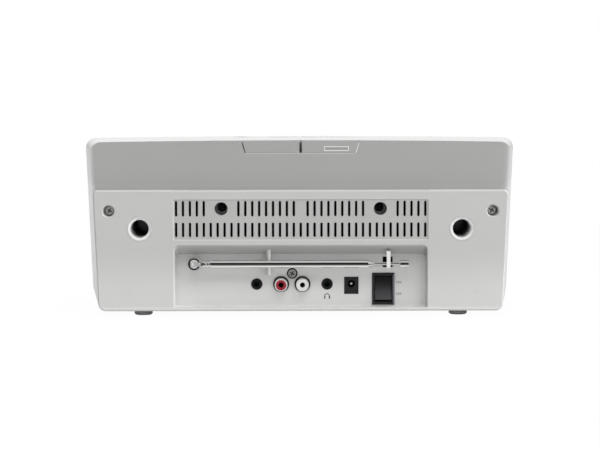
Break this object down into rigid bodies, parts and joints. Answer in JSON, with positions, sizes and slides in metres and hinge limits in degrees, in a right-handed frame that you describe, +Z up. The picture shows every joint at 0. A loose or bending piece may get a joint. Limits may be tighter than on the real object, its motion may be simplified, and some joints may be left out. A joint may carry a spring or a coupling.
{
  "type": "internet radio",
  "caption": "Table radio with a rear connector bay, telescopic antenna, rocker switch, bass ports, hinged port doors and a front with loudspeakers, display, keys and dial.",
  "frame": {"origin": "on the table, in the middle of the bounding box", "axes": "+X towards the left of the rear view, +Y towards the rear with the sockets, -Y towards the front with the loudspeakers, +Z up"},
  "size_m": [0.3014, 0.124, 0.1148],
  "materials": {
    "white_shell": "satin white moulding",
    "grey_cover": "satin light grey moulding",
    "black_plastic": "fine grain",
    "black_gloss": "smooth",
    "rubber": "matt",
    "steel": "zinc plated",
    "chrome": "polished",
    "nickel": "bright nickel",
    "red_plastic": "smooth",
    "white_plastic": "smooth",
    "dial_silver": "satin",
    "screen": "dark tinted",
    "circuit_board": "solder mask",
    "cone_black": "pressed paper look",
    "box_black": "moulded"
  },
  "bodies": {
    "housing": {"cabinet": "white_shell", "rear_cover": "grey_cover", "feet": "rubber", "cover_screws": "steel", "jack_screw": "steel", "jack_washer": "black_plastic", "port_tubes": "black_plastic", "aux_jack": "black_plastic", "headphone_jack": "black_plastic", "rca_block": "black_plastic", "rca_shells": "nickel", "rca_insert_red": "red_plastic", "rca_insert_white": "white_plastic", "dc_jack": "black_plastic", "dc_pin": "nickel", "switch_housing": "black_plastic", "jack_board": "circuit_board", "antenna_hook": "grey_cover", "usb_socket": "steel", "service_socket": "steel", "front_baffle": "black_plastic", "centre_panel": "white_shell", "display_lens": "screen", "display_module": "circuit_board", "front_board": "circuit_board", "tact_switches": "black_plastic", "top_board": "circuit_board", "encoder_body": "black_plastic", "speaker_magnets": "steel", "main_board": "circuit_board", "radio_module": "steel", "grille_left": "white_shell", "grille_right": "white_shell", "speaker_frame_left": "steel", "speaker_frame_right": "steel", "speaker_surround_left": "rubber", "speaker_surround_right": "rubber", "speaker_box_left": "box_black", "speaker_box_right": "box_black"},
    "antenna_swivel": {"antenna_turret": "chrome", "antenna_pin": "chrome", "antenna_nut": "steel"},
    "antenna_base": {"antenna_section_1": "chrome"},
    "antenna_second": {"antenna_section_2": "chrome"},
    "antenna_third": {"antenna_section_3": "chrome"},
    "antenna_fourth": {"antenna_section_4": "chrome"},
    "antenna_tip": {"antenna_rod": "chrome"},
    "rocker": {"power_rocker": "black_gloss"},
    "door_usb": {"usb_door": "white_shell"},
    "door_service": {"service_door": "white_shell"},
    "dial_rotor": {"encoder_rotor": "black_plastic"},
    "dial": {"tuning_dial": "dial_silver"},
    "menu": {"menu_key": "white_shell"},
    "back": {"back_key": "white_shell"},
    "info": {"info_key": "white_shell"},
    "select": {"select_key": "white_shell"},
    "snooze": {"snooze_bar": "white_shell"},
    "power": {"power_key": "white_shell"},
    "cone_left": {"speaker_cone_left": "cone_black"},
    "cone_right": {"speaker_cone_right": "cone_black"}
  },
  "joints": [
    {"name": "antenna_swivel_turn", "type": "hinge", "parent": "housing", "child": "antenna_swivel", "pos_m": [0.0695, 0.059, 0.0341], "axis": [0, 1, 0], "range_deg": [0, 90.5]},
    {"name": "antenna_tilt", "type": "hinge", "parent": "antenna_swivel", "child": "antenna_base", "pos_m": [0.0695, 0.059, 0.0341], "axis": [0, 0, -1], "range_deg": [0, 60], "deforming": ["antenna_hook"]},
    {"name": "section_2_slide", "type": "slide", "parent": "antenna_base", "child": "antenna_second", "axis": [-1, 0, 0], "range_m": [0, 0.0755]},
    {"name": "section_3_slide", "type": "slide", "parent": "antenna_second", "child": "antenna_third", "axis": [-1, 0, 0], "range_m": [0, 0.0755]},
    {"name": "section_4_slide", "type": "slide", "parent": "antenna_third", "child": "antenna_fourth", "axis": [-1, 0, 0], "range_m": [0, 0.0755]},
    {"name": "rod_slide", "type": "slide", "parent": "antenna_fourth", "child": "antenna_tip", "axis": [-1, 0, 0], "range_m": [0, 0.0755]},
    {"name": "rocker_press", "type": "hinge", "parent": "housing", "child": "rocker", "pos_m": [-0.0543, 0.0468, 0.01675], "axis": [-1, 0, 0], "range_deg": [0, 20]},
    {"name": "usb_door_hinge", "type": "hinge", "parent": "housing", "child": "door_usb", "pos_m": [-0.0019, 0.05465, 0.1085], "axis": [0, 0, -1], "range_deg": [0, 90]},
    {"name": "service_door_hinge", "type": "hinge", "parent": "housing", "child": "door_service", "pos_m": [0.0019, 0.05465, 0.1085], "axis": [0, 0, 1], "range_deg": [0, 90]},
    {"name": "dial_turn", "type": "hinge", "parent": "housing", "child": "dial_rotor", "pos_m": [0, -0.046, 0.033], "axis": [0, 1, 0], "continuous": true},
    {"name": "dial_push", "type": "slide", "parent": "dial_rotor", "child": "dial", "axis": [0, 1, 0], "range_m": [0, 0.0006], "stiffness_N_per_m": 3000},
    {"name": "menu_press", "type": "slide", "parent": "housing", "child": "menu", "axis": [0, 1, 0], "range_m": [0, 0.0008], "stiffness_N_per_m": 2000},
    {"name": "back_press", "type": "slide", "parent": "housing", "child": "back", "axis": [0, 1, 0], "range_m": [0, 0.0008], "stiffness_N_per_m": 2000},
    {"name": "info_press", "type": "slide", "parent": "housing", "child": "info", "axis": [0, 1, 0], "range_m": [0, 0.0008], "stiffness_N_per_m": 2000},
    {"name": "select_press", "type": "slide", "parent": "housing", "child": "select", "axis": [0, 1, 0], "range_m": [0, 0.0008], "stiffness_N_per_m": 2000},
    {"name": "snooze_press", "type": "slide", "parent": "housing", "child": "snooze", "axis": [0, 0, -1], "range_m": [0, 0.0008], "stiffness_N_per_m": 2500},
    {"name": "power_press", "type": "slide", "parent": "housing", "child": "power", "axis": [0, 0, -1], "range_m": [0, 0.0008], "stiffness_N_per_m": 2500},
    {"name": "cone_left_stroke", "type": "slide", "parent": "housing", "child": "cone_left", "axis": [0, 1, 0], "range_m": [-0.0015, 0.0015], "stiffness_N_per_m": 1500, "deforming": ["speaker_surround_left"]},
    {"name": "cone_right_stroke", "type": "slide", "parent": "housing", "child": "cone_right", "axis": [0, 1, 0], "range_m": [-0.0015, 0.0015], "stiffness_N_per_m": 1500, "deforming": ["speaker_surround_right"]}
  ],
  "couplings": [
    {"joint": "antenna_swivel_turn", "follows": "antenna_tilt", "ratio": 1.5},
    {"joint": "section_2_slide", "follows": "antenna_tilt", "m_per_rad": 0.0716},
    {"joint": "section_3_slide", "follows": "antenna_tilt", "m_per_rad": 0.0716},
    {"joint": "section_4_slide", "follows": "antenna_tilt", "m_per_rad": 0.0716},
    {"joint": "rod_slide", "follows": "antenna_tilt", "m_per_rad": 0.0716}
  ]
}
